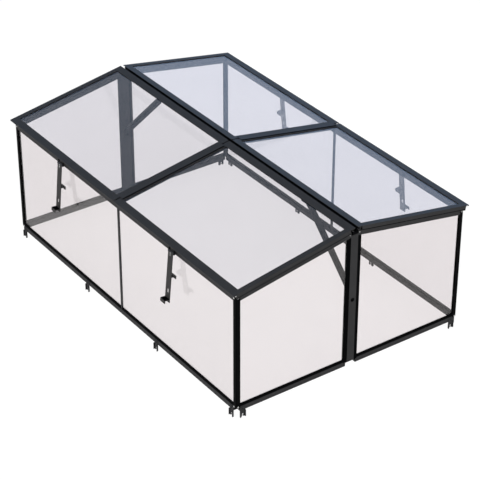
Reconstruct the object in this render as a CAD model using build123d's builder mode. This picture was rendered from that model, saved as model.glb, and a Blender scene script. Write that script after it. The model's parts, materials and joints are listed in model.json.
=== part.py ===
from build123d import *
import os
from math import cos, radians, sin, tan

# Low double-sided glass cold frame: four glazed lids hinged on one ridge, each with a casement stay.
# Right and left are +X and -X, front and back are -Y and +Y, and Z is up from the ground.

os.makedirs("parts", exist_ok=True)

# Overall sizes
length = 1200.0  # outside of the walls, along the ridge
width = 800.0  # outside of the walls, across the ridge
ridge_height = 466.3  # from the sill's underside to the line where the roof planes meet
roof_pitch = 9.8  # degrees
tab_drop = 22.0  # how far the fixing tabs hang below the sills

# Glazing and profile walls
glass = 4.0
seal = 1.5  # rubber on each face of the glass
wall = 1.5  # metal thickness of the profiles
seat_gap = 0.3  # between a closed lid and what it rests on
groove_depth = 8.0

# Sills
sill_face = 15.0
sill_back = 15.0
sill_groove_floor = 5.0
sill_corner_gap = 12.0  # open notch left at each corner of the base
sill_centre_gap = 18.0  # half of the opening under each centre post
seal_rise = 10.0  # height of the wedge seal above the sill's face
seal_step = 0.4

# Posts and wall rails
post_reveal = 4.0  # how far the posts' legs run on past the walls' depth
post_round = 4.0
post_foot = 11.0  # height of the posts' feet above the sill's underside
mullion_width = 8.0
mullion_web = 2.0
mullion_wall = 1.0
mullion_play = 0.2  # between the mullion's lips and the glass
eave_rail_height = 14.5
gable_rail_height = 16.0
centre_post_face = 25.0
centre_post_width = 49.0

# Lids
lid_depth = 16.0
rail_width = 16.5
rail_lip = 6.0  # cover of the rails' top lips over the glass
rail_ledge = 3.0  # lower lip that the glass rests on
eave_width = 25.0
eave_nose = 10.0  # thin lip beyond the eave rail's box
nose_drip = 3.5
eave_overhang = 12.5
verge_overhang = 7.0
lid_joint = 5.0  # gap between the two lids of one slope
glass_top = 2.0  # from the lid's top face down to the glass
glass_play = 0.5

# Ridge hinge
hinge_inset = 9.5  # hinge axis to the middle of the ridge
hinge_below_top = 6.0  # hinge axis to the lid's top face
bead_radius = 3.2
hinge_clearance = 0.3
curl_wall = 1.8
mouth_from = 135.0  # degrees from the slope, where the open side of the curl starts
mouth_to = 275.0
flange_nib = 5.5  # how far the ridge rail's flange reaches past the hinge axis
ridge_flange_to = 18.0  # from the hinge axis down the slope
stem = 2.0
stem_angle = 60.0
ridge_beam_width = 18.0
ridge_beam_height = 9.0
ridge_beam_top = 447.0  # above the sill's underside

# Braces
brace_width = 20.0
brace_thickness = 3.0
brace_bolt_height = 222.0  # above the sill's underside
brace_reach = 200.0  # from the gable's inner face to the upper bend
brace_lug = 12.0  # past each bolt
brace_bend = 5.0

# Stays
stay_from_middle = 303.0
stay_width = 23.0
stay_thickness = 2.0
stay_pivot_out = 10.0  # in front of the wall
stay_pivot_drop = 18.5  # below the line of the lids' top faces
stay_lean = 5.5  # degrees
stay_hook_at = 75.0
stay_foot_at = 147.0
stay_length = 158.0
stay_tab = 16.0
stay_lip = 10.0
stay_slot_at = 123.0
stay_slot_length = 14.0
stay_slot_width = 6.0
pin_radius = 2.0
pin_clearance = 0.3
ear_thickness = 1.5
ear_gap = 0.5
ear_half = 4.3

# Fixing tabs
tab_width = 18.0
tab_lap = 11.0
tab_return = 5.0
tab_hole_radius = 2.5
tab_hole_height = 8.0
tab_fork_width = 6.0  # notch in the tabs' lower ends
tab_fork_height = 4.0
side_tab_end = 21.0  # from the wall's end line to the middle of the last tab
gable_tab_end = 21.0

# Lines worked out from the sizes above
base = tab_drop
wall_x = width / 2
wall_y = length / 2
profile_depth = glass + 2 * seal + 2 * wall
post_leg = profile_depth + post_reveal
inner_x = wall_x - profile_depth
inner_y = wall_y - profile_depth
apex = base + ridge_height
cos_pitch = cos(radians(roof_pitch))
sin_pitch = sin(radians(roof_pitch))
tan_pitch = tan(radians(roof_pitch))


def roof_z(x):
    return apex - x * tan_pitch


def seat_z(x):
    return roof_z(x) - lid_depth / cos_pitch - seat_gap


def gable_rail_low(x):
    return seat_z(x) - gable_rail_height


eave_rail_low = seat_z(wall_x) - eave_rail_height
post_top = seat_z(wall_x)
plate_top = gable_rail_low(centre_post_width / 2)
beam_top = base + ridge_beam_top
beam_low = beam_top - ridge_beam_height
hinge_z = roof_z(hinge_inset) - hinge_below_top / cos_pitch
side_rail_half = wall_y - post_leg
gable_rail_end = wall_x - post_leg


def outline(points, mode=Mode.ADD):
    Polygon(*points, align=None, mode=mode)


def save(part, name):
    part.label = name
    export_step(part, f"parts/{name}.step")


def save_four(part, piece):
    """Write a back right piece and its copies mirrored across the ridge, along it, and both."""
    with BuildPart() as back_left:
        mirror(part, about=Plane.YZ)
    with BuildPart() as front_right:
        mirror(part, about=Plane.XZ)
    with BuildPart() as front_left:
        mirror(back_left.part, about=Plane.XZ)
    save(part, f"back_right_{piece}")
    save(back_left.part, f"back_left_{piece}")
    save(front_right.part, f"front_right_{piece}")
    save(front_left.part, f"front_left_{piece}")


def save_pair(part, about, name, other_name):
    with BuildPart() as other:
        mirror(part, about=about)
    save(part, name)
    save(other.part, other_name)


# Positions across a wall's thickness, measured inwards from its outer face
lip_in = wall
glass_out = wall + seal
glass_in = glass_out + glass
back_lip = glass_in + seal


# Sills: a glazing channel whose ends are cut down to carry the posts
def sill_section(face):
    outline(
        [
            (face - profile_depth, base),
            (face, base),
            (face, base + sill_face),
            (face - lip_in, base + sill_face),
            (face - lip_in, base + sill_groove_floor),
            (face - back_lip, base + sill_groove_floor),
            (face - back_lip, base + sill_back),
            (face - profile_depth, base + sill_back),
        ]
    )


foot_z = base + post_foot
cut_height = sill_back - post_foot
with BuildPart() as side_sill:
    with BuildSketch(Plane.XZ):
        sill_section(wall_x)
    extrude(amount=wall_y - sill_corner_gap, both=True)
    for end in (-1, 1):
        with Locations((wall_x - profile_depth / 2, end * (side_rail_half + post_leg / 2), foot_z)):
            Box(
                profile_depth,
                post_leg,
                cut_height,
                align=(Align.CENTER, Align.CENTER, Align.MIN),
                mode=Mode.SUBTRACT,
            )
save_pair(side_sill.part, Plane.YZ, "right_sill", "left_sill")

with BuildPart() as gable_sills:
    with BuildSketch(Plane.YZ.offset(sill_centre_gap)):
        sill_section(wall_y)
    extrude(amount=wall_x - sill_corner_gap - sill_centre_gap)
    for cut_from, cut_to in ((0, centre_post_width / 2), (gable_rail_end, wall_x)):
        with Locations(((cut_from + cut_to) / 2, wall_y - profile_depth / 2, foot_z)):
            Box(
                cut_to - cut_from,
                profile_depth,
                cut_height,
                align=(Align.CENTER, Align.CENTER, Align.MIN),
                mode=Mode.SUBTRACT,
            )
    mirror(about=Plane.YZ)
save_pair(gable_sills.part, Plane.XZ, "back_sills", "front_sills")

# Corner posts: an angle with a glazing groove in the end of each leg
with BuildPart() as corner_post:
    with BuildSketch(Plane.XY.offset(foot_z)):
        with Locations((wall_x - post_leg / 2, wall_y - post_leg / 2)):
            Rectangle(post_leg, post_leg)
        with Locations((wall_x - profile_depth - post_leg / 2, wall_y - profile_depth - post_leg / 2)):
            Rectangle(post_leg, post_leg, mode=Mode.SUBTRACT)
        with Locations((wall_x - profile_depth / 2, side_rail_half + post_reveal / 2)):
            Rectangle(profile_depth - 2 * wall, post_reveal, mode=Mode.SUBTRACT)
        with Locations((gable_rail_end + post_reveal / 2, wall_y - profile_depth / 2)):
            Rectangle(post_reveal, profile_depth - 2 * wall, mode=Mode.SUBTRACT)
    extrude(amount=post_top - foot_z)
    outer_edge = corner_post.edges().filter_by(Axis.Z).sort_by(SortBy.DISTANCE)[-1]
    fillet(outer_edge, post_round)
save_four(corner_post.part, "corner_post")

# Centre posts: a hollow face with a wider back plate that the panes lie against
with BuildPart() as centre_post:
    with BuildSketch(Plane.XY.offset(foot_z)):
        with Locations((0, wall_y - profile_depth / 2)):
            Rectangle(centre_post_face, profile_depth)
            Rectangle(centre_post_face - 2 * wall, profile_depth - 2 * wall, mode=Mode.SUBTRACT)
    extrude(amount=beam_low - foot_z)
    for side in (-1, 1):
        with BuildSketch(Plane.XY.offset(foot_z)):
            with Locations((side * (centre_post_face + centre_post_width) / 4, inner_y + wall / 2)):
                Rectangle((centre_post_width - centre_post_face) / 2, wall)
        extrude(amount=plate_top - foot_z)
save_pair(centre_post.part, Plane.XZ, "back_centre_post", "front_centre_post")

# Mullions at the middle of the long walls: an H that stands in the grooves of the sill and the eave rail
mullion_low = base + sill_groove_floor
mullion_high = eave_rail_low + groove_depth
with BuildPart() as mullions:
    with BuildSketch(Plane.XY.offset(mullion_low)):
        with Locations((wall_x - glass_out - glass / 2, 0)):
            Rectangle(glass + 2 * (mullion_play + mullion_wall), mullion_width)
        groove = (mullion_width - mullion_web) / 2
        for end in (-1, 1):
            with Locations((wall_x - glass_out - glass / 2, end * (mullion_width - groove) / 2)):
                Rectangle(glass + 2 * mullion_play, groove, mode=Mode.SUBTRACT)
    extrude(amount=mullion_high - mullion_low)
    mirror(about=Plane.YZ)
save(mullions.part, "wall_mullions")

# Eave rails: the top of each long wall, cut to the roof's slope, with a groove for the panes
with BuildPart() as eave_rail:
    with BuildSketch(Plane.XZ):
        outline(
            [
                (inner_x, eave_rail_low),
                (wall_x - back_lip, eave_rail_low),
                (wall_x - back_lip, eave_rail_low + groove_depth),
                (wall_x - lip_in, eave_rail_low + groove_depth),
                (wall_x - lip_in, eave_rail_low),
                (wall_x, eave_rail_low),
                (wall_x, seat_z(wall_x)),
                (inner_x, seat_z(inner_x)),
            ]
        )
        hollow_floor = eave_rail_low + groove_depth + wall
        with BuildLine():
            Polyline(
                (wall_x - back_lip, hollow_floor),
                (wall_x - lip_in, hollow_floor),
                (wall_x - lip_in, seat_z(wall_x - lip_in) - wall),
                (wall_x - back_lip, seat_z(wall_x - back_lip) - wall),
                close=True,
            )
        make_face(mode=Mode.SUBTRACT)
    extrude(amount=side_rail_half, both=True)
save_pair(eave_rail.part, Plane.YZ, "right_eave_rail", "left_eave_rail")

# Gable rails: the sloping tops of the gables, from the corner posts to the centre posts
with BuildPart() as gable_rails:
    rail_start = centre_post_face / 2
    with BuildSketch(Plane.XZ.offset(-wall_y)):
        outline(
            [
                (rail_start, gable_rail_low(rail_start)),
                (gable_rail_end, gable_rail_low(gable_rail_end)),
                (gable_rail_end, seat_z(gable_rail_end)),
                (rail_start, seat_z(rail_start)),
            ]
        )
    extrude(amount=profile_depth)
    with BuildSketch(Plane.XZ.offset(-wall_y + wall)):
        outline(
            [
                (rail_start, gable_rail_low(rail_start)),
                (gable_rail_end, gable_rail_low(gable_rail_end)),
                (gable_rail_end, gable_rail_low(gable_rail_end) + groove_depth),
                (rail_start, gable_rail_low(rail_start) + groove_depth),
            ]
        )
        outline(
            [
                (rail_start, gable_rail_low(rail_start) + groove_depth + wall),
                (gable_rail_end, gable_rail_low(gable_rail_end) + groove_depth + wall),
                (gable_rail_end, seat_z(gable_rail_end) - wall),
                (rail_start, seat_z(rail_start) - wall),
            ]
        )
    extrude(amount=profile_depth - 2 * wall, mode=Mode.SUBTRACT)
    mirror(about=Plane.YZ)
save_pair(gable_rails.part, Plane.XZ, "back_gable_rails", "front_gable_rails")

# Ridge: a hollow beam on the centre posts, with a round hinge bead on a stem for each slope
stem_foot_x = hinge_inset - (hinge_z - beam_top) / tan(radians(stem_angle))
stem_half = stem / 2 / sin(radians(stem_angle))
with BuildPart() as ridge_beam:
    with BuildSketch(Plane.XZ):
        with Locations((0, (beam_low + beam_top) / 2)):
            Rectangle(ridge_beam_width, beam_top - beam_low)
            Rectangle(ridge_beam_width - 2 * wall, beam_top - beam_low - 2 * wall, mode=Mode.SUBTRACT)
        outline(
            [
                (hinge_inset - stem_half, hinge_z),
                (hinge_inset + stem_half, hinge_z),
                (stem_foot_x + stem_half, beam_top),
                (stem_foot_x - stem_half, beam_top),
            ]
        )
        with Locations((hinge_inset, hinge_z)):
            Circle(bead_radius)
        mirror(about=Plane.YZ)
    extrude(amount=wall_y, both=True)
save(ridge_beam.part, "ridge_beam")

# Braces: a flat bar bent at both ends, from each centre post up to the ridge beam
lug_y = inner_y - brace_thickness / 2
lug_z = beam_low - brace_thickness / 2
bolt_z = base + brace_bolt_height
bend_z = lug_z - brace_reach + brace_lug / 2
with BuildPart() as braces:
    with BuildSketch(Plane.YZ.offset(-brace_width / 2)):
        with BuildLine():
            FilletPolyline(
                (lug_y, bolt_z - brace_lug),
                (lug_y, bend_z),
                (inner_y - brace_reach, lug_z),
                (inner_y - brace_reach - 2 * brace_lug, lug_z),
                radius=brace_bend,
            )
        trace(line_width=brace_thickness)
    extrude(amount=brace_width)
    mirror(about=Plane.XZ)
save(braces.part, "ridge_braces")

# Fixed panes
pane_edge = groove_depth - seal
post_bite = post_reveal - seal
with BuildPart() as side_glass:
    pane_low = base + sill_groove_floor + seal
    pane_high = eave_rail_low + pane_edge
    pane_from = mullion_web / 2 + glass_play
    pane_to = side_rail_half + post_bite
    with Locations((wall_x - glass_out - glass / 2, (pane_from + pane_to) / 2, (pane_low + pane_high) / 2)):
        Box(glass, pane_to - pane_from, pane_high - pane_low)
    mirror(about=Plane.XZ)
save_pair(side_glass.part, Plane.YZ, "right_glass", "left_glass")

with BuildPart() as gable_glass:
    gable_pane_from = centre_post_face / 2 + seal
    gable_pane_to = gable_rail_end + post_bite
    with BuildSketch(Plane.XZ.offset(-wall_y + glass_out)):
        outline(
            [
                (gable_pane_from, pane_low),
                (gable_pane_to, pane_low),
                (gable_pane_to, gable_rail_low(gable_pane_to) + pane_edge),
                (gable_pane_from, gable_rail_low(gable_pane_from) + pane_edge),
            ]
        )
    extrude(amount=glass)
    mirror(about=Plane.YZ)
save_pair(gable_glass.part, Plane.XZ, "back_glass", "front_glass")


# Seals: a rubber channel round the foot of each pane, with an outer wedge over the sill
def seal_section(face):
    outline(
        [
            (face - back_lip, base + sill_groove_floor),
            (face - lip_in, base + sill_groove_floor),
            (face - lip_in, base + sill_face),
            (face - seal_step, base + sill_face),
            (face - lip_in, base + sill_face + seal_rise),
            (face - glass_out, base + sill_face + seal_rise),
            (face - glass_out, base + sill_groove_floor + seal),
            (face - glass_in, base + sill_groove_floor + seal),
            (face - glass_in, base + sill_back - seal),
            (face - back_lip, base + sill_back - seal),
        ]
    )


with BuildPart() as side_seals:
    with BuildSketch(Plane.XZ.offset(-mullion_width / 2)):
        seal_section(wall_x)
    extrude(amount=-(side_rail_half - mullion_width / 2))
    mirror(about=Plane.XZ)
    mirror(about=Plane.YZ)
save(side_seals.part, "side_seals")

with BuildPart() as gable_seals:
    with BuildSketch(Plane.YZ.offset(centre_post_width / 2)):
        seal_section(wall_y)
    extrude(amount=gable_rail_end - centre_post_width / 2)
    mirror(about=Plane.XZ)
    mirror(about=Plane.YZ)
save(gable_seals.part, "gable_seals")

strip_from = centre_post_face / 2
strip_to = centre_post_width / 2
with BuildPart() as centre_post_seals:
    with BuildSketch(Plane.XY.offset(foot_z)):
        outline(
            [
                (strip_from, inner_y + wall),
                (strip_to, inner_y + wall),
                (strip_to, wall_y - glass_in),
                (gable_pane_from, wall_y - glass_in),
                (gable_pane_from, wall_y - glass_out),
                (strip_to, wall_y - glass_out),
                (strip_to, wall_y - lip_in),
                (strip_from, wall_y - seal_step),
            ]
        )
    extrude(amount=gable_rail_low(strip_from) - foot_z)
    with BuildSketch(Plane.XZ.offset(-wall_y)):
        outline(
            [
                (strip_from, gable_rail_low(strip_from)),
                (strip_to, gable_rail_low(strip_from)),
                (strip_to, plate_top),
            ]
        )
    extrude(amount=profile_depth, mode=Mode.SUBTRACT)
    mirror(about=Plane.XZ)
    mirror(about=Plane.YZ)
save(centre_post_seals.part, "centre_post_seals")

# Fixing tabs: channels on the sills' outer faces that reach down outside a timber collar
tab_top = base + tab_lap
side_tab_y = wall_y - side_tab_end
gable_tab_x = wall_x - gable_tab_end
tab_places = [
    (wall_x, side_tab_y, 0),
    (wall_x, side_tab_y / 3, 0),
    (gable_tab_x, wall_y, 90),
]
with BuildPart() as fixing_tabs:
    for x, y, turn in tab_places:
        out = Vector(1, 0, 0).rotate(Axis.Z, turn)
        with BuildSketch(Plane(origin=(x, y, 0), x_dir=out, z_dir=(0, 0, 1))):
            with Locations((wall / 2, 0)):
                Rectangle(wall, tab_width)
        extrude(amount=tab_top)
        with BuildSketch(Plane(origin=(x, y, 0), x_dir=out, z_dir=(0, 0, 1))):
            with Locations((tab_return / 2, 0)):
                Rectangle(tab_return, tab_width)
            with Locations((wall + tab_return / 2, 0)):
                Rectangle(tab_return, tab_width - 2 * wall, mode=Mode.SUBTRACT)
        extrude(amount=base)
        with BuildSketch(Plane(origin=(x, y, tab_hole_height), z_dir=out)):
            Circle(tab_hole_radius)
        extrude(amount=wall, mode=Mode.SUBTRACT)
        with BuildSketch(Plane(origin=(x, y, 0), x_dir=out, z_dir=(0, 0, 1))):
            with Locations((wall / 2, 0)):
                Rectangle(wall, tab_fork_width)
        extrude(amount=tab_fork_height, mode=Mode.SUBTRACT)
    mirror(about=Plane.YZ)
    mirror(about=Plane.XZ)
save(fixing_tabs.part, "fixing_tabs")

# Lids, drawn on the right slope: s runs down the slope from the hinge axis and n stands off it
top_n = hinge_below_top
low_n = top_n - lid_depth
lip_n = top_n - wall
ledge_n = top_n - glass_top - glass - glass_play
eave_s = (wall_x + eave_overhang - hinge_inset - top_n * sin_pitch) / cos_pitch
eave_flange_s = eave_s - eave_width
down_slope = Vector(cos_pitch, 0, -sin_pitch)
hinge_point = Vector(hinge_inset, 0, hinge_z)
lid_from = lid_joint / 2
lid_to = wall_y + verge_overhang
side_box = rail_width - rail_lip
between_sides = lid_to - lid_from - 2 * side_box


def slope_plane(y):
    """Section plane of what runs along the ridge: its x is s and its y is n."""
    return Plane(origin=hinge_point + Vector(0, y, 0), x_dir=down_slope, z_dir=(0, -1, 0))


def bar(from_s, to_s, from_n, to_n, mode=Mode.ADD):
    with Locations(((from_s + to_s) / 2, (from_n + to_n) / 2)):
        Rectangle(to_s - from_s, to_n - from_n, mode=mode)


# Ridge rails: a curl that wraps the hinge bead, with a top flange and a glazing groove between the sides
curl_inner = bead_radius + hinge_clearance
curl_outer = curl_inner + curl_wall
web_s = ridge_flange_to - rail_lip
mouth_middle = (mouth_from + mouth_to) / 2
with BuildPart() as ridge_rail:
    with BuildSketch(slope_plane(lid_to)):
        Circle(curl_outer)
        Circle(curl_inner, mode=Mode.SUBTRACT)
        with BuildLine():
            mouth = [
                (3 * curl_outer * cos(radians(a)), 3 * curl_outer * sin(radians(a)))
                for a in (mouth_from, mouth_middle, mouth_to)
            ]
            Polyline((0, 0), *mouth, close=True)
        make_face(mode=Mode.SUBTRACT)
        bar(-flange_nib, web_s, lip_n, top_n)
        bar(web_s - wall, web_s, ledge_n - wall, top_n)
    extrude(amount=lid_to - lid_from)
    with BuildSketch(slope_plane(lid_to - side_box)):
        bar(web_s, ridge_flange_to, lip_n, top_n)
        bar(web_s, web_s + rail_ledge, ledge_n - wall, ledge_n)
    extrude(amount=between_sides)
save_four(ridge_rail.part, "lid_ridge_rail")

# Lid eave rails: a box between the sides with a glazing groove, and a thin nose over the wall
box_from = eave_flange_s + rail_lip
box_to = eave_s - eave_nose
with BuildPart() as lid_eave_rail:
    with BuildSketch(slope_plane(lid_to)):
        bar(box_to, eave_s, lip_n, top_n)
        bar(eave_s - wall, eave_s, top_n - nose_drip, top_n)
    extrude(amount=lid_to - lid_from)
    with BuildSketch(slope_plane(lid_to - side_box)):
        bar(eave_flange_s, box_to, lip_n, top_n)
        bar(box_from, box_to, low_n, top_n)
        bar(box_from + wall, box_to - wall, low_n + wall, lip_n, mode=Mode.SUBTRACT)
        bar(box_from - rail_ledge, box_from, ledge_n - wall, ledge_n)
    extrude(amount=between_sides)
save_four(lid_eave_rail.part, "lid_eave_rail")

# Lid side rails: a box from the ridge rail's web to the nose, with the same groove along the glass
with BuildPart() as lid_side_rails:
    for edge, inward in ((lid_from, 1), (lid_to, -1)):
        for start_s, end_s, is_box in ((web_s, box_to, True), (ridge_flange_to, eave_flange_s, False)):
            origin = hinge_point + down_slope * start_s + Vector(0, edge, 0)
            with BuildSketch(Plane(origin=origin, x_dir=(0, 1, 0), z_dir=down_slope)):
                if is_box:
                    bar(*sorted((0, inward * side_box)), low_n, top_n)
                    hollow = sorted((inward * wall, inward * (side_box - wall)))
                    bar(*hollow, low_n + wall, lip_n, mode=Mode.SUBTRACT)
                else:
                    bar(*sorted((inward * side_box, inward * rail_width)), lip_n, top_n)
                    ledge = sorted((inward * side_box, inward * (side_box + rail_ledge)))
                    bar(*ledge, ledge_n - wall, ledge_n)
            extrude(amount=end_s - start_s)
save_four(lid_side_rails.part, "lid_side_rails")

# Lid glass
pane_lap = rail_lip - glass_play
with BuildPart() as lid_glass:
    pane_y = lid_to - rail_width + pane_lap
    with BuildSketch(slope_plane(pane_y)):
        bar(
            ridge_flange_to - pane_lap,
            eave_flange_s + pane_lap,
            top_n - glass_top - glass,
            top_n - glass_top,
        )
    extrude(amount=pane_y - lid_from - rail_width + pane_lap)
save_four(lid_glass.part, "lid_glass")

# Stay clips: a plate under the eave rail's nose with two ears and the stay's pin
pivot_x = wall_x + stay_pivot_out
pivot_z = roof_z(pivot_x) - stay_pivot_drop
clip_half = stay_width / 2 + ear_gap + ear_thickness
ear_top_drop = 1.5 * wall / cos_pitch  # to the middle of the plate under the nose
with BuildPart() as stay_clip:
    with BuildSketch(slope_plane(stay_from_middle + clip_half)):
        bar(box_to, eave_s - wall, lip_n - wall, lip_n)
    extrude(amount=2 * clip_half)
    for ear_start in (stay_from_middle + clip_half, stay_from_middle - clip_half + ear_thickness):
        with BuildSketch(Plane.XZ.offset(-ear_start)):
            outline(
                [
                    (pivot_x - ear_half, pivot_z),
                    (pivot_x + ear_half, pivot_z),
                    (pivot_x, roof_z(pivot_x) - ear_top_drop),
                    (pivot_x - ear_half, roof_z(pivot_x - ear_half) - ear_top_drop),
                ]
            )
            with Locations((pivot_x, pivot_z)):
                Circle(ear_half)
        extrude(amount=ear_thickness)
    with BuildSketch(Plane.XZ.offset(-stay_from_middle - clip_half)):
        with Locations((pivot_x, pivot_z)):
            Circle(pin_radius)
    extrude(amount=2 * clip_half)
save_four(stay_clip.part, "stay_clip")

# Stays: a strip rolled round the pin, with a saddle hook half way and a foot hook at its end
lean = radians(stay_lean)
eye_inner = pin_radius + pin_clearance
eye_outer = eye_inner + stay_thickness
stay_start = stay_from_middle + stay_width / 2
stay_plane = Plane(
    origin=(pivot_x, stay_start, pivot_z),
    x_dir=(cos(lean), 0, sin(lean)),
    z_dir=(0, -1, 0),
)
with BuildPart() as stay:
    with BuildSketch(stay_plane):
        Circle(eye_outer)
        Circle(eye_inner, mode=Mode.SUBTRACT)
        bar(eye_inner, eye_outer, -stay_length, 0)
        bar(eye_inner - stay_tab, eye_inner, -stay_hook_at - stay_thickness, -stay_hook_at)
        bar(
            eye_inner - stay_tab,
            eye_inner - stay_tab + stay_thickness,
            -stay_hook_at - stay_lip,
            -stay_hook_at,
        )
        bar(eye_outer, eye_outer + stay_tab, -stay_foot_at - stay_thickness, -stay_foot_at)
        bar(
            eye_outer + stay_tab - stay_thickness,
            eye_outer + stay_tab,
            -stay_foot_at - stay_lip,
            -stay_foot_at,
        )
    extrude(amount=stay_width)
    slot_plane = Plane(
        origin=stay_plane.from_local_coords((eye_inner, -stay_slot_at, stay_width / 2)),
        x_dir=stay_plane.y_dir,
        z_dir=stay_plane.x_dir,
    )
    with BuildSketch(slot_plane):
        SlotOverall(stay_slot_length, stay_slot_width)
    extrude(amount=stay_thickness, mode=Mode.SUBTRACT)
save_four(stay.part, "stay")
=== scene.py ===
import json
import math

import bmesh
import bpy
from mathutils import Matrix, Vector


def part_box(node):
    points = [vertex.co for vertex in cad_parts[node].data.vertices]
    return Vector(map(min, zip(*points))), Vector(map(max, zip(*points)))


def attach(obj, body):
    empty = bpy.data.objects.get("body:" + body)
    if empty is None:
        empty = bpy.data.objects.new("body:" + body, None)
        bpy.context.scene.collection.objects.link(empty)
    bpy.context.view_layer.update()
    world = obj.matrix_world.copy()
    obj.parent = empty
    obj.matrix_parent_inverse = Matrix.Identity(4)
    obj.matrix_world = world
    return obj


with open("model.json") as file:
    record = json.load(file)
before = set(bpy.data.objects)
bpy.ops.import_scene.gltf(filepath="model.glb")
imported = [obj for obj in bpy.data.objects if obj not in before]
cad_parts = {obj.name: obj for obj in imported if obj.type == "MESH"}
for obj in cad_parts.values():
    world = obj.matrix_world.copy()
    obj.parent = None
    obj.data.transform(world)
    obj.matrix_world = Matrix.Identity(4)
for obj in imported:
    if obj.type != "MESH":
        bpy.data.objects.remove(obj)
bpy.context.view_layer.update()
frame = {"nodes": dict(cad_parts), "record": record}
print("frame loaded:", len(frame["nodes"]), "nodes")

# each side and end with the sign of its axis, and the four corners with both signs
sides = {"left": -1, "right": 1}
ends = {"front": -1, "back": 1}
corners = [(f"{end}_{side}", sides[side], ends[end]) for end in ends for side in sides]

# the roof's pitch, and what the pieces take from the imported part: its joints and the walls' outer faces
pitchDegrees = 9.8
pitch = math.radians(pitchDegrees)
record = frame["record"]
joints = {joint["name"]: joint for joint in record["behaviour"]["joints"]}
hinges = {side: Vector(joints[f"back_{side}_lid_hinge"]["pos_m"]) for side in sides}
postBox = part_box("back_right_corner_post")
wallX, wallY = postBox[1][0], postBox[1][1]


# what the node trees are built with
def feed(tree, socket, value):
    # another socket is linked, and anything else is the socket's own value
    if isinstance(value, bpy.types.NodeSocket):
        tree.links.new(value, socket)
    else:
        socket.default_value = value


def addNode(tree, kind, settings=None, **inputs):
    # the inputs are named with an underscore for each space
    node = tree.nodes.new(kind)
    for key, value in (settings or {}).items():
        setattr(node, key, value)
    for key, value in inputs.items():
        feed(tree, node.inputs[key.replace("_", " ")], value)
    return node


def addMath(tree, operation, first, second, clamp=False):
    node = addNode(tree, "ShaderNodeMath", {"operation": operation, "use_clamp": clamp})
    feed(tree, node.inputs[0], first)
    feed(tree, node.inputs[1], second)
    return node.outputs[0]


def mapRange(tree, value, fromMin, fromMax, toMin=0.0, toMax=1.0):
    node = addNode(
        tree, "ShaderNodeMapRange", {"clamp": True},
        Value=value, From_Min=fromMin, From_Max=fromMax, To_Min=toMin, To_Max=toMax,
    )
    return node.outputs["Result"]


def addNoise(tree, place, scale, detail, roughness=0.5):
    node = addNode(tree, "ShaderNodeTexNoise", Vector=place, Scale=scale, Detail=detail, Roughness=roughness)
    return node.outputs["Fac"]


def mixColour(tree, factor, first, second):
    # the colours are the node's inputs 6 and 7, and its output 2
    node = addNode(tree, "ShaderNodeMix", {"data_type": "RGBA"})
    for index, value in ((0, factor), (6, first), (7, second)):
        feed(tree, node.inputs[index], value)
    return node.outputs[2]


def mixShader(tree, factor, first, second):
    node = tree.nodes.new("ShaderNodeMixShader")
    for index, source in enumerate((factor, first, second)):
        tree.links.new(source, node.inputs[index])
    return node.outputs[0]


def newGroup(name, inputs, outputs):
    group = bpy.data.node_groups.new(name, "ShaderNodeTree")
    for label, kind, default in inputs:
        socket = group.interface.new_socket(label, in_out="INPUT", socket_type=kind)
        socket.default_value = default
    for label, kind in outputs:
        group.interface.new_socket(label, in_out="OUTPUT", socket_type=kind)
    return group, group.nodes.new("NodeGroupInput"), group.nodes.new("NodeGroupOutput")


def useGroup(tree, group, **inputs):
    return addNode(tree, "ShaderNodeGroup", {"node_tree": group}, **inputs)


# surface effects that several finishes share; the sizes of grain, drift and patches are in millimetres
perMetre = 1000.0
edgeWear = {
    "radius": 0.0006, "breakup": 90.0, "samples": 4, "bend": (0.995, 0.86), "detail": 4.0, "patches": (0.45, 0.62),
}
coatGrain = {
    "grainSize": 0.6, "grainDetail": 2.0, "grainRough": 0.6,
    "driftSize": 60.0, "driftDetail": 3.0, "drift": (0.3, 0.7),
    "scuffStretch": (1.0, 0.12, 1.0), "scuffScale": 240.0, "scuffDetail": 5.0, "scuffRough": 0.7,
    "scuff": (0.58, 0.72),
}
restingDust = {
    "amount": 0.2, "patchSize": 35.0, "upward": (0.2, 1.0), "detail": 6.0, "rough": 0.65,
    "patches": (0.35, 0.75), "thinnest": 0.2,
}


def makeEdgeGroup(look):
    # rounded edges, and a mask of where the edges are
    group, entry, leave = newGroup(
        "edgeWear",
        [("Radius", "NodeSocketFloat", look["radius"]), ("Breakup", "NodeSocketFloat", look["breakup"])],
        [("Mask", "NodeSocketFloat"), ("Normal", "NodeSocketVector")],
    )
    bevel = addNode(group, "ShaderNodeBevel", {"samples": look["samples"]}, Radius=entry.outputs["Radius"])
    geometry = group.nodes.new("ShaderNodeNewGeometry")
    dot = addNode(group, "ShaderNodeVectorMath", {"operation": "DOT_PRODUCT"})
    group.links.new(bevel.outputs[0], dot.inputs[0])
    group.links.new(geometry.outputs["Normal"], dot.inputs[1])
    edge = mapRange(group, dot.outputs["Value"], *look["bend"])
    place = group.nodes.new("ShaderNodeTexCoord").outputs["Object"]
    noise = addNoise(group, place, entry.outputs["Breakup"], look["detail"])
    patches = mapRange(group, noise, *look["patches"])
    group.links.new(addMath(group, "MULTIPLY", edge, patches), leave.inputs["Mask"])
    group.links.new(bevel.outputs[0], leave.inputs["Normal"])
    return group


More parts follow.
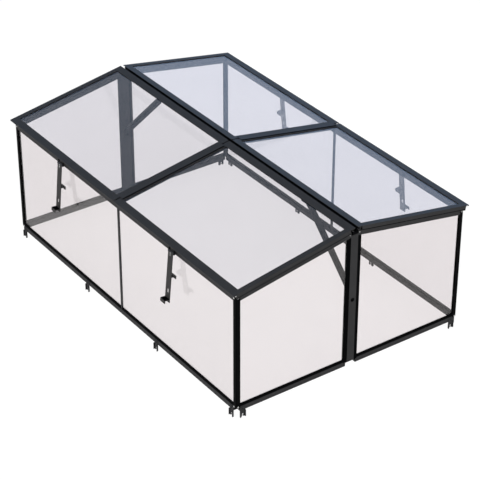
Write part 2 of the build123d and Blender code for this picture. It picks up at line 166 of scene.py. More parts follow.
def makeGrainGroup(look):
    # the fine orange peel of a coat, a slow drift in its tone, and rubbed streaks
    group, entry, leave = newGroup(
        "coatGrain",
        [("Grain Size", "NodeSocketFloat", look["grainSize"]), ("Drift Size", "NodeSocketFloat", look["driftSize"])],
        [("Height", "NodeSocketFloat"), ("Tone", "NodeSocketFloat"), ("Scuff", "NodeSocketFloat")],
    )
    place = group.nodes.new("ShaderNodeTexCoord").outputs["Object"]
    fineScale = addMath(group, "DIVIDE", perMetre, entry.outputs["Grain Size"])
    fine = addNoise(group, place, fineScale, look["grainDetail"], look["grainRough"])
    slowScale = addMath(group, "DIVIDE", perMetre, entry.outputs["Drift Size"])
    slow = addNoise(group, place, slowScale, look["driftDetail"])
    stretch = addNode(group, "ShaderNodeMapping", Vector=place, Scale=look["scuffStretch"])
    rubbed = addNoise(group, stretch.outputs[0], look["scuffScale"], look["scuffDetail"], look["scuffRough"])
    group.links.new(fine, leave.inputs["Height"])
    group.links.new(mapRange(group, slow, *look["drift"]), leave.inputs["Tone"])
    group.links.new(mapRange(group, rubbed, *look["scuff"]), leave.inputs["Scuff"])
    return group


def makeDustGroup(look):
    # pale dust where a face looks up
    group, entry, leave = newGroup(
        "restingDust",
        [("Amount", "NodeSocketFloat", look["amount"]), ("Patch Size", "NodeSocketFloat", look["patchSize"])],
        [("Mask", "NodeSocketFloat")],
    )
    geometry = group.nodes.new("ShaderNodeNewGeometry")
    split = addNode(group, "ShaderNodeSeparateXYZ", Vector=geometry.outputs["Normal"])
    upward = mapRange(group, split.outputs["Z"], *look["upward"])
    place = group.nodes.new("ShaderNodeTexCoord").outputs["Object"]
    patchScale = addMath(group, "DIVIDE", perMetre, entry.outputs["Patch Size"])
    noise = addNoise(group, place, patchScale, look["detail"], look["rough"])
    patches = mapRange(group, noise, *look["patches"], look["thinnest"], 1.0)
    mask = addMath(group, "MULTIPLY", addMath(group, "MULTIPLY", upward, patches), entry.outputs["Amount"])
    group.links.new(mask, leave.inputs["Mask"])
    return group


edgeGroup = makeEdgeGroup(edgeWear)
grainGroup = makeGrainGroup(coatGrain)
dustGroup = makeDustGroup(restingDust)


def newMaterial(name):
    material = bpy.data.materials.new(name)
    material.use_nodes = True
    tree = material.node_tree
    tree.nodes.clear()
    surface = tree.nodes.new("ShaderNodeBsdfPrincipled")
    output = tree.nodes.new("ShaderNodeOutputMaterial")
    tree.links.new(surface.outputs[0], output.inputs["Surface"])
    return material, tree, surface, output


# powder coats and zinc: how light, rough and worn each one is
coats = {
    "grey_profile": {
        "colour": (0.0290, 0.0285, 0.0290, 1), "drift": (0.0360, 0.0355, 0.0365, 1), "worn": (0.12, 0.125, 0.13, 1),
        "rough": (0.34, 0.44), "grain": 0.7, "bump": 0.10, "wear": 0.16, "dust": 0.02, "edge": 0.0005,
        "specular": 0.12,
    },
    "black_profile": {
        "colour": (0.0012, 0.0012, 0.0013, 1), "drift": (0.0022, 0.0022, 0.0024, 1), "worn": (0.05, 0.05, 0.05, 1),
        "rough": (0.42, 0.52), "grain": 0.8, "bump": 0.12, "wear": 0.10, "dust": 0.01, "edge": 0.0006,
        "specular": 0.04,
    },
    "black_steel": {
        "colour": (0.010, 0.010, 0.0108, 1), "drift": (0.015, 0.015, 0.016, 1), "worn": (0.20, 0.19, 0.18, 1),
        "rough": (0.38, 0.50), "grain": 0.6, "bump": 0.10, "wear": 0.25, "dust": 0.02, "edge": 0.0004,
        "specular": 0.2,
    },
    "stay_steel": {
        "colour": (0.026, 0.0245, 0.024, 1), "drift": (0.038, 0.036, 0.035, 1), "worn": (0.32, 0.31, 0.30, 1),
        "rough": (0.32, 0.44), "grain": 0.5, "bump": 0.08, "wear": 0.40, "dust": 0.02, "edge": 0.0004,
        "specular": 0.22,
    },
    "zinc_steel": {
        "colour": (0.52, 0.52, 0.50, 1), "drift": (0.62, 0.62, 0.61, 1), "worn": (0.75, 0.75, 0.74, 1),
        "rough": (0.26, 0.40), "grain": 0.4, "bump": 0.08, "wear": 0.30, "dust": 0.02, "edge": 0.0003,
        "specular": 0.5,
    },
}
# what all the coats share
allCoats = {
    "driftSize": 70.0, "breakup": 85.0, "dustPatch": 40.0, "dustColour": (0.42, 0.40, 0.37, 1), "scuffRough": 0.06,
}
grainDepth = 0.0002


def addGrainBump(tree, surface, strength, grain, edge):
    bump = addNode(
        tree, "ShaderNodeBump", Strength=strength, Distance=grainDepth,
        Height=grain.outputs["Height"], Normal=edge.outputs["Normal"],
    )
    tree.links.new(bump.outputs[0], surface.inputs["Normal"])


def makeCoat(name, look, shared):
    material, tree, surface, _ = newMaterial(name)
    grain = useGroup(tree, grainGroup, Grain_Size=look["grain"], Drift_Size=shared["driftSize"])
    edge = useGroup(tree, edgeGroup, Radius=look["edge"], Breakup=shared["breakup"])
    dust = useGroup(tree, dustGroup, Amount=look["dust"], Patch_Size=shared["dustPatch"])
    tone = mixColour(tree, grain.outputs["Tone"], look["colour"], look["drift"])
    tone = mixColour(tree, addMath(tree, "MULTIPLY", edge.outputs["Mask"], look["wear"]), tone, look["worn"])
    tone = mixColour(tree, dust.outputs["Mask"], tone, shared["dustColour"])
    rough = mapRange(tree, grain.outputs["Tone"], 0.0, 1.0, *look["rough"])
    scuffed = mapRange(tree, grain.outputs["Scuff"], 0.0, 1.0, 0.0, shared["scuffRough"])
    surface.inputs["Specular IOR Level"].default_value = look["specular"]
    tree.links.new(tone, surface.inputs["Base Color"])
    tree.links.new(addMath(tree, "ADD", rough, scuffed), surface.inputs["Roughness"])
    addGrainBump(tree, surface, look["bump"], grain, edge)
    return material


# black rubber with a faint bloom
rubber = {
    "colour": (0.0008, 0.0008, 0.0009, 1), "bloom": (0.002, 0.002, 0.0021, 1), "rough": (0.55, 0.75),
    "specular": 0.03, "grain": 0.4, "driftSize": 25.0, "edge": 0.0005, "breakup": 60.0, "bump": 0.15,
}


def makeRubber(name, look):
    material, tree, surface, _ = newMaterial(name)
    grain = useGroup(tree, grainGroup, Grain_Size=look["grain"], Drift_Size=look["driftSize"])
    edge = useGroup(tree, edgeGroup, Radius=look["edge"], Breakup=look["breakup"])
    surface.inputs["Specular IOR Level"].default_value = look["specular"]
    tone = mixColour(tree, grain.outputs["Tone"], look["colour"], look["bloom"])
    tree.links.new(tone, surface.inputs["Base Color"])
    tree.links.new(mapRange(tree, grain.outputs["Tone"], 0.0, 1.0, *look["rough"]), surface.inputs["Roughness"])
    addGrainBump(tree, surface, look["bump"], grain, edge)
    return material


# the panes: the lids' glass has a darker tint than the walls' glass
wallPane = {
    "tint": (0.812, 0.769, 0.776, 1), "smear": (0.802, 0.759, 0.766, 1),
    "filmScale": 7.0, "filmDetail": 3.0, "film": (0.45, 0.75),
    "beyond": (1.0, 0.995, 1.0, 1), "onePane": 1.5, "passed": (0.88, 0.88, 0.88, 1),
    "ior": 1.5, "wave": 0.004, "waveScale": 4.0, "waveDetail": 1.0, "waveDepth": 0.0005,
}
lidPane = {**wallPane, "tint": (0.745, 0.719, 0.741, 1), "smear": (0.735, 0.709, 0.731, 1)}


def makeGlass(name, look):
    material, tree, surface, output = newMaterial(name)
    place = tree.nodes.new("ShaderNodeTexCoord").outputs["Object"]
    film = mapRange(tree, addNoise(tree, place, look["filmScale"], look["filmDetail"]), *look["film"])
    tinted = mixColour(tree, film, look["tint"], look["smear"])
    # a pane seen through another takes less tint, so that two panes in line stay as light as one
    path = tree.nodes.new("ShaderNodeLightPath")
    beyond = addMath(tree, "GREATER_THAN", path.outputs["Transmission Depth"], look["onePane"])
    tree.links.new(mixColour(tree, beyond, tinted, look["beyond"]), surface.inputs["Base Color"])
    surface.inputs["Roughness"].default_value = 0.0
    surface.inputs["IOR"].default_value = look["ior"]
    surface.inputs["Transmission Weight"].default_value = 1.0
    slow = addNoise(tree, place, look["waveScale"], look["waveDetail"])
    bump = addNode(tree, "ShaderNodeBump", Strength=look["wave"], Distance=look["waveDepth"], Height=slow)
    tree.links.new(bump.outputs[0], surface.inputs["Normal"])
    # shadow rays pass the panes, so that what is behind them is lit
    clear = addNode(tree, "ShaderNodeBsdfTransparent", Color=look["passed"])
    mixed = mixShader(tree, path.outputs["Is Shadow Ray"], surface.outputs[0], clear.outputs[0])
    tree.links.new(mixed, output.inputs["Surface"])
    return material


finishes = {name: makeCoat(name, look, allCoats) for name, look in coats.items()}
finishes["black_rubber"] = makeRubber("black_rubber", rubber)
finishes["clear_glass"] = makeGlass("clear_glass", wallPane)
lidGlass = makeGlass("lid_glass", lidPane)

slotOf = {part["node"]: part["material_slot"] for part in record["subparts"]}
for nodeName, cadObject in frame["nodes"].items():
    cadObject.data.materials.clear()
    cadObject.data.materials.append(lidGlass if nodeName.endswith("_lid_glass") else finishes[slotOf[nodeName]])
print("finishes on", len(slotOf), "nodes")


# what the pieces below are built with
def onSlope(side, down, along, off):
    # a point by its distance down a roof slope from the hinge, along the ridge, and off the slope
    axis = hinges[side]
    run = abs(axis[0]) + down * math.cos(pitch) + off * math.sin(pitch)
    return Vector((sides[side] * run, along, axis[2] - down * math.sin(pitch) + off * math.cos(pitch)))


def facing(point, outward):
    # a place at the point, with its own Z looking outward
    turn = Vector(outward).to_track_quat("Z", "Y").to_matrix().to_4x4()
    return Matrix.Translation(point) @ turn


def addTurned(bm, profile, place, steps=24):
    # rings of radius and height round a place's own Z; a third value gives the ring that many flat sides
    rings = []
    for radius, height, *flats in profile:
        ring = []
        for step in range(steps):
            angle = 2 * math.pi * step / steps
            reach = radius
            if flats:
                sector = 2 * math.pi / flats[0]
                reach = radius / math.cos((angle + sector / 2) % sector - sector / 2)
            ring.append(place @ Vector((reach * math.cos(angle), reach * math.sin(angle), height)))
        rings.append(ring)
    addLoft(bm, rings)


def addLoft(bm, sections):
    # a closed skin over rings of points, with a face over each end
    rings = [[bm.verts.new(point) for point in section] for section in sections]
    count = len(rings[0])
    for low, high in zip(rings, rings[1:]):
        for step in range(count):
            after = (step + 1) % count
            bm.faces.new((low[step], low[after], high[after], high[step]))
    bm.faces.new(rings[0][::-1])
    bm.faces.new(rings[-1])


def addDownSlope(bm, side, shape, stretch):
    # an outline, by distances along the ridge and off the slope, run down a slope between two distances
    addLoft(bm, [[onSlope(side, down, along, off) for along, off in shape] for down in stretch])


def bevelled(near, far, root, tip, soft):
    # the outline of a bar that stands on its root, with both of its outer corners cut off
    return [(near, root), (near, tip - soft), (near + soft, tip), (far - soft, tip), (far, tip - soft), (far, root)]


def scaled(profile, wide, tall):
    return [(wide * radius, tall * height) for radius, height in profile]


def raised(profile, lift):
    return [(radius, height + lift, *flats) for radius, height, *flats in profile]


def addObject(name, data):
    made = bpy.data.objects.new(name, data)
    bpy.context.scene.collection.objects.link(made)
    return made


def makePiece(name, bm, body, slotName):
    bmesh.ops.recalc_face_normals(bm, faces=bm.faces)
    mesh = bpy.data.meshes.new(name)
    bm.to_mesh(mesh)
    bm.free()
    mesh.materials.append(finishes[slotName])
    piece = addObject(name, mesh)
    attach(piece, body)


# a low domed head with a hexagon socket, by angles up the dome and shares of its radius, height and socket
headShape = {
    "foot": 0.97, "rise": 0.25, "dome": (0, 20, 40, 58), "rim": 1.15, "socketSides": 6, "socketFloor": (0.96, 0.35),
}
# the steps round the small heads and rivets
smallSteps = 16


def panHead(radius, height, socket):
    look = headShape
    dome = []
    for angle in look["dome"]:
        bend = math.radians(angle)
        dome.append((radius * math.cos(bend), height * (look["rise"] + (1 - look["rise"]) * math.sin(bend))))
    flats, (narrow, deep) = look["socketSides"], look["socketFloor"]
    well = [(socket * look["rim"], height), (socket, height, flats), (socket * narrow, height * deep, flats)]
    return [(radius * look["foot"], 0.0), *dome, *well]


# black rubber between the two lids of each slope, and along the foot of each lid's outer side; it is painted shade,
# darkening the gap between the lids and the line under each lid's edge
lidShadeStrips = {
    "stretch": (0.0125, 0.3972), "meetAt": 0.0025, "meetLow": -0.005, "meetTop": 0.0042, "bulb": 0.0017,
    "verge": (0.6062, 0.6074), "vergeTop": -0.0060, "vergeDrop": 0.0022, "vergeRound": 0.001,
}


def makeLidShadeStrips(look):
    middle, half = (look["meetLow"] + look["meetTop"]) / 2, (look["meetTop"] - look["meetLow"]) / 2
    meeting = [(look["meetAt"], look["meetLow"]), (look["meetAt"], look["meetTop"])]
    for angle in range(80, -81, -20):
        bend = math.radians(angle)
        meeting.append((-look["bulb"] * math.cos(bend), middle + half * math.sin(bend)))
    (near, far), top, bulge = look["verge"], look["vergeTop"], look["vergeRound"]
    verge = [(near, top), (far, top)]
    for angle in range(0, 181, 30):
        bend = math.radians(angle)
        across = (near + far) / 2 + (far - near) / 2 * math.cos(bend)
        verge.append((across, top - look["vergeDrop"] + bulge - bulge * math.sin(bend)))
    for side in sides:
        bm = bmesh.new()
        # painted shade: near-black rubber filling the gap between the two lids
        addDownSlope(bm, side, meeting, look["stretch"])
        makePiece(f"{side}_meeting_gap_shade", bm, f"back_{side}_lid", "black_rubber")
        for end, endSign in ends.items():
            # painted shade: a near-black strip hanging under each lid's outer edge
            bm = bmesh.new()
            addDownSlope(bm, side, [(endSign * along, off) for along, off in verge], look["stretch"])
            makePiece(f"{end}_{side}_verge_edge_shade", bm, f"{end}_{side}_lid", "black_rubber")


makeLidShadeStrips(lidShadeStrips)

# the strip on each back lid's inner side that covers the joint and laps over the front lid, with near-black rubber at
# its edge that paints the shadow line under that edge
coverStrips = {
    "stretch": (0.0215, 0.3835), "near": -0.0124, "far": 0.0082, "low": 0.0062, "thick": 0.0014,
    "round": 0.0005, "roundMiddle": 0.3,
    # painted shadow: the outline of the near-black rubber under the strip's front edge
    "edge": (
        (-0.0110, 0.0061), (-0.0150, 0.0061), (-0.0156, 0.00655), (-0.0148, 0.0076),
        (-0.0125, 0.0074), (-0.0125, 0.00655), (-0.0110, 0.00655),
    ),
}


def makeCoverStrips(look):
    near, far, low, soft = look["near"], look["far"], look["low"], look["round"]
    top, part = low + look["thick"], soft * look["roundMiddle"]
    strip = [
        (near, low), (near, top - soft), (near + part, top - part), (near + soft, top),
        (far - soft, top), (far - part, top - part), (far, top - soft), (far, low),
    ]
    for side in sides:
        for name, shape, slotName in (
            ("cover_strip", strip, "grey_profile"), ("cover_strip_shadow_edge", look["edge"], "black_rubber"),
        ):
            bm = bmesh.new()
            addDownSlope(bm, side, shape, look["stretch"])
            makePiece(f"{side}_{name}", bm, f"back_{side}_lid", slotName)


makeCoverStrips(coverStrips)
print("lid seals and cover strips made")

# rubber beside the panes in the corner posts' grooves
cornerSeals = {
    "legEnd": 0.014, "grooveEnd": 0.0104, "low": 0.0365, "top": 0.3885, "soft": 0.3,
    "outer": (0.0014, 0.0031), "outerProud": 0.0007, "inner": (0.0069, 0.0086), "innerProud": 0.0014,
}


def makeCornerSeals(look):
    for corner, sideSign, endSign in corners:
        bm = bmesh.new()
        for strip in ("outer", "inner"):
            near, far = look[strip]
            tip = look["legEnd"] + look[f"{strip}Proud"]
            onWall = bevelled(near, far, look["grooveEnd"], tip, (far - near) * look["soft"])
            onGable = [(reach, depth) for depth, reach in onWall]
            for shape in (onWall, onGable):
                addLoft(bm, [
                    [Vector((sideSign * (wallX - x), endSign * (wallY - y), height)) for x, y in shape]
                    for height in (look["low"], look["top"])
                ])
        makePiece(f"{corner}_corner_seals", bm, "frame", "black_rubber")


makeCornerSeals(cornerSeals)

# screws through the corner posts into the wall rails and the sills; a row is a height on each of a post's two faces
postScrews = {
    "radius": 0.0027, "height": 0.0016, "socket": 0.0011, "onSide": 0.0105, "onGable": 0.0065,
    "rows": ((0.3972, 0.3995), (0.0362, 0.0362)),
}


def makePostScrews(look):
    head = panHead(look["radius"], look["height"], look["socket"])
    for corner, sideSign, endSign in corners:
        bm = bmesh.new()
        for sideHeight, gableHeight in look["rows"]:
            onWall = Vector((sideSign * wallX, endSign * (wallY - look["onSide"]), sideHeight))
            addTurned(bm, head, facing(onWall, (sideSign, 0, 0)))
            onGable = Vector((sideSign * (wallX - look["onGable"]), endSign * wallY, gableHeight))
            addTurned(bm, head, facing(onGable, (0, endSign, 0)))
        makePiece(f"{corner}_post_screws", bm, "frame", "zinc_steel")


makePostScrews(postScrews)

# one screw end near the outer eave corner of each lid
lidScrews = {"radius": 0.0017, "height": 0.0007, "socket": 0.0008, "down": 0.4015, "off": 0.0016, "at": 0.607}


def makeLidScrews(look):
    head = panHead(look["radius"], look["height"], look["socket"])
    for end, endSign in ends.items():
        for side in sides:
            bm = bmesh.new()
            point = onSlope(side, look["down"], endSign * look["at"], look["off"])
            addTurned(bm, head, facing(point, (0, endSign, 0)))
            makePiece(f"{end}_{side}_lid_screw", bm, f"{end}_{side}_lid", "zinc_steel")


makeLidScrews(lidScrews)

# the bolts that hold each brace: through the centre post, and up into the ridge beam
braceBolts = {
    "postHeight": 0.244, "faceY": 0.600, "lugY": 0.587, "beamY": 0.378, "beamZ": 0.457,
    "radius": 0.0046, "height": 0.0026, "socket": 0.0019,
    "washer": 0.0062, "washerThick": 0.0010, "washerShape": ((0.96, 0.0), (1.0, 0.4), (0.94, 1.0)),
    "nut": (
        (0.0040, 0.0, 6), (0.0040, 0.0028, 6), (0.0036, 0.0032),
        (0.0024, 0.0032), (0.0022, 0.0048), (0.0016, 0.0052),
    ),
}


def makeBraceBolts(look):
    thick = look["washerThick"]
    washer = [*scaled(look["washerShape"], look["washer"], thick), (look["radius"], thick)]
    head = raised(panHead(look["radius"], look["height"], look["socket"]), thick)
    nut = raised(look["nut"], thick)
    for end, endSign in ends.items():
        bm = bmesh.new()
        for y, z, outward, fastener in (
            (look["faceY"], look["postHeight"], (0, endSign, 0), head),
            (look["lugY"], look["postHeight"], (0, -endSign, 0), nut),
            (look["beamY"], look["beamZ"], (0, 0, -1), head),
        ):
            place = facing(Vector((0, endSign * y, z)), outward)
            addTurned(bm, washer, place)
            addTurned(bm, fastener, place)
        makePiece(f"{end}_brace_bolts", bm, "frame", "black_profile")


makeBraceBolts(braceBolts)

# the turned-down edge that makes an angle of each brace between its bends
braceFlanges = {
    "edge": 0.010, "thick": 0.0020, "deep": 0.0120, "soft": 0.0004, "root": 0.0003,
    "low": (0.5863, 0.2646), "top": (0.3901, 0.4563), "gap": 0.004, "ramp": 0.0118,
}


def makeBraceFlanges(look):
    low, top = Vector(look["low"]), Vector(look["top"])
    length = (top - low).length
    along = (top - low) / length
    inward = Vector((-along.y, along.x))
    gap, ramp, deep = look["gap"], look["ramp"], look["deep"]
    edge, inner, soft, root = look["edge"], look["edge"] - look["thick"], look["soft"], look["root"]
    stations = ((gap, root), (gap + ramp, deep), (length - gap - ramp, deep), (length - gap, root))
    for end, endSign in ends.items():
        rings = []
        for far, tall in stations:
            ring = []
            for x, depth in (
                (edge, -root), (edge, tall - soft / 2), (edge - soft, tall),
                (inner + soft, tall), (inner, tall - soft / 2), (inner, -root),
            ):
                at = low + along * far + inward * depth
                ring.append(Vector((x, endSign * at.x, at.y)))
            rings.append(ring)
        bm = bmesh.new()
        addLoft(bm, rings)
        makePiece(f"{end}_brace_flange", bm, "frame", "black_steel")


makeBraceFlanges(braceFlanges)

# the snap-in cover on the inner face of each centre post, with a black rubber strip on one side of it that paints the
# cover's contact shadow
postCovers = {
    "across": (-0.0243, 0.0122), "proud": 0.0018, "soft": 0.0004, "face": 0.590, "low": 0.034, "top": 0.449,
    "shadowLine": ((0.0, 0.0), (0.0, 0.0005), (0.0053, 0.0005), (0.0056, 0.0002), (0.0056, 0.0)),
}


def makePostCovers(look):
    near, far = look["across"]
    cover = bevelled(near, far, 0.0, look["proud"], look["soft"])
    # painted shadow: the black strip lies only on the cover's far side, where its shadow falls
    shadowLine = [(far + beside, out) for beside, out in look["shadowLine"]]
    for end, endSign in ends.items():
        for name, shape, slotName in (("post_cover", cover, "grey_profile"), ("post_painted_shadow", shadowLine, "black_rubber")):
            bm = bmesh.new()
            addLoft(bm, [
                [Vector((x, endSign * (look["face"] - out), height)) for x, out in shape]
                for height in (look["low"], look["top"])
            ])
            makePiece(f"{end}_{name}", bm, "frame", slotName)


makePostCovers(postCovers)
print("corner seals, screws, bolts, brace flanges and post covers made")

# plugs in the ridge beam's ends, with a disc over each hinge bead, and the screw ends beside them; the near-black
# plugs paint the shade inside the beam's hollow ends
ridgeEnds = {
    "halfWidth": 0.0088, "low": 0.4602, "top": 0.4688, "round": 0.0016,
    "inside": 0.004, "proud": 0.0012, "lip": 0.0005, "lipInset": 0.0006,
    "bead": 0.0030, "disc": ((1.0, 0.0), (1.0, 0.0006), (0.8, 0.0011), (0.3, 0.0013)),
    "screwX": 0.0165, "screwZ": 0.4632, "screwRadius": 0.0019, "screwHeight": 0.0012, "screwSocket": 0.0008,
}


def roundedRing(look, y, inset):
    # the plug's outline at a distance along the ridge, with its corners cut in by the inset
    ring = []
    reach = look["round"] - inset
    for cornerX, cornerZ, first in ((1, 1, 0), (-1, 1, 90), (-1, -1, 180), (1, -1, 270)):
        centreX = cornerX * (look["halfWidth"] - look["round"])
        centreZ = (look["top"] - look["round"]) if cornerZ > 0 else (look["low"] + look["round"])
        for step in (0, 30, 60, 90):
            bend = math.radians(first + step)
            ring.append(Vector((centreX + reach * math.cos(bend), y, centreZ + reach * math.sin(bend))))
    return ring


def makeRidgeEnds(look):
    screw = panHead(look["screwRadius"], look["screwHeight"], look["screwSocket"])
    outer = wallY + look["proud"]
    stations = ((wallY - look["inside"], 0.0), (outer - look["lip"], 0.0), (outer, look["lipInset"]))
    for end, endSign in ends.items():
        bm = bmesh.new()
        # painted shade: a near-black plug where the beam's hollow end lies in shade
        addLoft(bm, [roundedRing(look, endSign * y, inset) for y, inset in stations])
        for axis in hinges.values():
            place = facing(Vector((axis[0], endSign * wallY, axis[2])), (0, endSign, 0))
            addTurned(bm, scaled(look["disc"], look["bead"], 1.0), place)
        makePiece(f"{end}_ridge_shade_plugs", bm, "frame", "black_profile")
        bm = bmesh.new()
        for sideSign in sides.values():
            place = facing(Vector((sideSign * look["screwX"], endSign * wallY, look["screwZ"])), (0, endSign, 0))
            addTurned(bm, screw, place, smallSteps)
        makePiece(f"{end}_ridge_screws", bm, "frame", "zinc_steel")


makeRidgeEnds(ridgeEnds)

# rivets through the fixing tabs, and the peened ends of the stays' pins
rivets = {
    "radius": 0.0024, "height": 0.0011, "tabHeight": 0.0275, "tabFace": 0.0015, "endIn": 0.021,
    "shape": ((0.98, 0.0), (1.0, 0.3), (0.8, 0.8), (0.5, 1.0), (0.36, 1.0), (0.30, 0.5)),
    "pinRadius": 0.0040, "pinHeight": 0.0020, "pinHalf": 0.0135,
    "pinShape": ((1.0, 0.0), (1.0, 0.4), (0.75, 0.85), (0.35, 1.0)),
}


def makeRivets(look):
    head = scaled(look["shape"], look["radius"], look["height"])
    bm = bmesh.new()
    endY = wallY - look["endIn"]
    for sideSign in sides.values():
        for y in (-endY, -endY / 3, endY / 3, endY):
            point = Vector((sideSign * (wallX + look["tabFace"]), y, look["tabHeight"]))
            addTurned(bm, head, facing(point, (sideSign, 0, 0)), smallSteps)
        for endSign in ends.values():
            x, y = sideSign * (wallX - look["endIn"]), endSign * (wallY + look["tabFace"])
            addTurned(bm, head, facing(Vector((x, y, look["tabHeight"])), (0, endSign, 0)), smallSteps)
    makePiece("tab_rivets", bm, "frame", "black_steel")
    peened = scaled(look["pinShape"], look["pinRadius"], look["pinHeight"])
    for corner, _, _ in corners:
        pivot = Vector(joints[f"{corner}_stay_pivot"]["pos_m"])
        bm = bmesh.new()
        for way in (-1, 1):
            addTurned(bm, peened, facing(pivot + Vector((0, way * look["pinHalf"], 0)), (0, way, 0)), smallSteps)
        makePiece(f"{corner}_pin_ends", bm, f"{corner}_lid", "black_steel")


makeRivets(rivets)

# how many degrees each stay hangs out of plumb
stayLean = 5.5


def stayAxes(corner, sideSign):
    # a stay's pivot, the way its outer face looks, and the way up it
    pivot = Vector(joints[f"{corner}_stay_pivot"]["pos_m"])
    lean = math.radians(stayLean)
    outward = Vector((sideSign * math.cos(lean), 0, math.sin(lean)))
    return pivot, outward, Vector((-sideSign * math.sin(lean), 0, math.cos(lean)))


# two rivets through each stay, just under its eye, in light zinc that paints the highlight on the stay's rolled eye
stayRivetGlints = {
    "radius": 0.0018, "height": 0.0010, "rows": (-0.0023, -0.0085), "face": 0.0044,
    "shape": ((1.0, 0.0), (0.96, 0.45), (0.75, 0.85), (0.4, 1.0)),
}


def makeStayRivetGlints(look):
    head = scaled(look["shape"], look["radius"], look["height"])
    for corner, sideSign, _ in corners:
        pivot, outward, along = stayAxes(corner, sideSign)
        bm = bmesh.new()
        # painted highlight: light zinc heads where the stay's eye catches the light
        for row in look["rows"]:
            addTurned(bm, head, facing(pivot + outward * look["face"] + along * row, outward), smallSteps)
        makePiece(f"{corner}_stay_rivet_glints", bm, f"{corner}_stay", "zinc_steel")


makeStayRivetGlints(stayRivetGlints)

# a thin black layer over the top of each stay's foot
footBlackTops = {"from": 0.0045, "to": 0.0201, "at": -0.147, "thick": 0.0008, "half": 0.0113, "soft": 0.0004}


def makeFootBlackTops(look):
    shape = bevelled(look["from"], look["to"], look["at"], look["at"] + look["thick"], look["soft"])
    for corner, sideSign, _ in corners:
        pivot, outward, along = stayAxes(corner, sideSign)
        bm = bmesh.new()
        addLoft(bm, [
            [pivot + outward * out + along * up + Vector((0, y, 0)) for out, up in shape]
            for y in (-look["half"], look["half"])
        ])
        makePiece(f"{corner}_foot_black_top", bm, f"{corner}_stay", "black_rubber")


makeFootBlackTops(footBlackTops)
print("ridge plugs, rivets and foot pads made")

# the camera, aimed by the compass and by how far it looks down
camera = {
    "place": (-2.7436, -3.9494, 3.1247), "azimuth": 54.872, "down": 31.849,
    "lens": 138.17, "sensor": 36, "clipEnd": 60,
}


def lookAlong(obj, direction):
    obj.rotation_mode = "QUATERNION"
    obj.rotation_quaternion = direction.to_track_quat("-Z", "Y")


def makeCamera(look):
    data = bpy.data.cameras.new("camera")
    data.lens = look["lens"]
    data.sensor_width = look["sensor"]
    data.clip_end = look["clipEnd"]
    obj = addObject("camera", data)
    obj.location = look["place"]
    azimuth, down = math.radians(look["azimuth"]), math.radians(look["down"])
    lookAlong(obj, Vector((math.cos(azimuth) * math.cos(down), math.sin(azimuth) * math.cos(down), -math.sin(down))))
    bpy.context.scene.camera = obj


# the sky looks white, lights the scene softly, and mirrors in glass and metal as a blue that darkens upward
studio = {
    "skyLow": 1.0, "skyHigh": 0.16,
    "mirroredLow": (0.53, 0.76, 1.16, 1), "mirroredHigh": (0.20, 0.27, 0.39, 1), "mirroredTurn": (0.48, 0.68),
    "aim": (0, 0, 0.2),
    "lamps": (
        {"name": "keyLamp", "place": (-3.6, -0.8, 1.5), "size": 2.2, "power": 66},
        {"name": "topLamp", "place": (0.2, -1.0, 4.4), "size": 2.6, "power": 5},
        {"name": "fillLamp", "place": (1.4, -4.0, 1.3), "size": 2.2, "power": 58},
    ),
    "floorReach": 14.0, "floorColour": (0.94, 0.94, 0.94, 1), "floorRough": 0.9, "floorSpecular": 0.1,
    "floorEven": 0.83, "floorShown": 1.12, "floorMirrored": 0.50,
}
white = (1, 1, 1, 1)


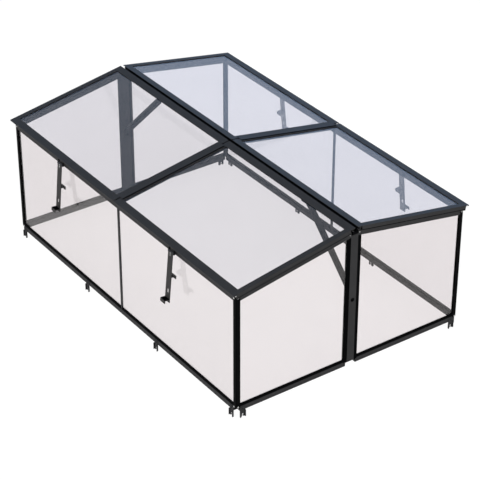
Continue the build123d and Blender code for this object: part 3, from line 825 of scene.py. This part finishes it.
def makeSky(look):
    world = bpy.data.worlds.new("studio")
    bpy.context.scene.world = world
    world.use_nodes = True
    tree = world.node_tree
    tree.nodes.clear()
    path = tree.nodes.new("ShaderNodeLightPath")
    seen = addMath(tree, "MAXIMUM", path.outputs["Is Camera Ray"], path.outputs["Is Transmission Ray"])
    place = tree.nodes.new("ShaderNodeTexCoord")
    rise = addNode(tree, "ShaderNodeSeparateXYZ", Vector=place.outputs["Generated"]).outputs["Z"]
    mirrored = mixColour(tree, mapRange(tree, rise, *look["mirroredTurn"]), look["mirroredLow"], look["mirroredHigh"])
    level = mapRange(tree, rise, 0.0, 1.0, look["skyLow"], look["skyHigh"])
    plain = addNode(tree, "ShaderNodeCombineColor", Red=level, Green=level, Blue=level)
    colour = mixColour(tree, path.outputs["Is Glossy Ray"], plain.outputs[0], mirrored)
    sky = addNode(tree, "ShaderNodeBackground", Color=mixColour(tree, seen, colour, white))
    output = tree.nodes.new("ShaderNodeOutputWorld")
    tree.links.new(sky.outputs[0], output.inputs["Surface"])


def makeLamps(look):
    for lamp in look["lamps"]:
        data = bpy.data.lights.new(lamp["name"], "AREA")
        data.shape = "DISK"
        data.size = lamp["size"]
        data.energy = lamp["power"]
        obj = addObject(lamp["name"], data)
        obj.location = lamp["place"]
        # the lamps light the scene, but don't show in the panes or through them
        obj.visible_camera = obj.visible_glossy = obj.visible_transmission = False
        lookAlong(obj, Vector(look["aim"]) - obj.location)


def makeFloor(look):
    mesh = bpy.data.meshes.new("floor")
    reach = look["floorReach"]
    points = [(-reach, -reach, 0), (reach, -reach, 0), (reach, reach, 0), (-reach, reach, 0)]
    mesh.from_pydata(points, [], [(0, 1, 2, 3)])
    floor = addObject("floor", mesh)
    material, tree, surface, output = newMaterial("floorCard")
    surface.inputs["Base Color"].default_value = look["floorColour"]
    surface.inputs["Roughness"].default_value = look["floorRough"]
    surface.inputs["Specular IOR Level"].default_value = look["floorSpecular"]
    # the card shows as plain white, with part of the object's shadow left on it
    path = tree.nodes.new("ShaderNodeLightPath")
    direct = addMath(tree, "MAXIMUM", path.outputs["Is Camera Ray"], path.outputs["Is Transmission Ray"])
    mirrored = addMath(tree, "SUBTRACT", path.outputs["Is Glossy Ray"], direct, clamp=True)
    level = mapRange(tree, mirrored, 0.0, 1.0, look["floorShown"], look["floorMirrored"])
    shown = addNode(tree, "ShaderNodeEmission", Color=white, Strength=level)
    even = addMath(tree, "MAXIMUM", mapRange(tree, direct, 0.0, 1.0, 0.0, look["floorEven"]), mirrored)
    tree.links.new(mixShader(tree, even, surface.outputs[0], shown.outputs[0]), output.inputs["Surface"])
    mesh.materials.append(material)


makeCamera(camera)
makeSky(studio)
makeLamps(studio)
makeFloor(studio)
print("camera, lamps and floor made")

bpy.context.scene.view_settings.view_transform = "Standard"
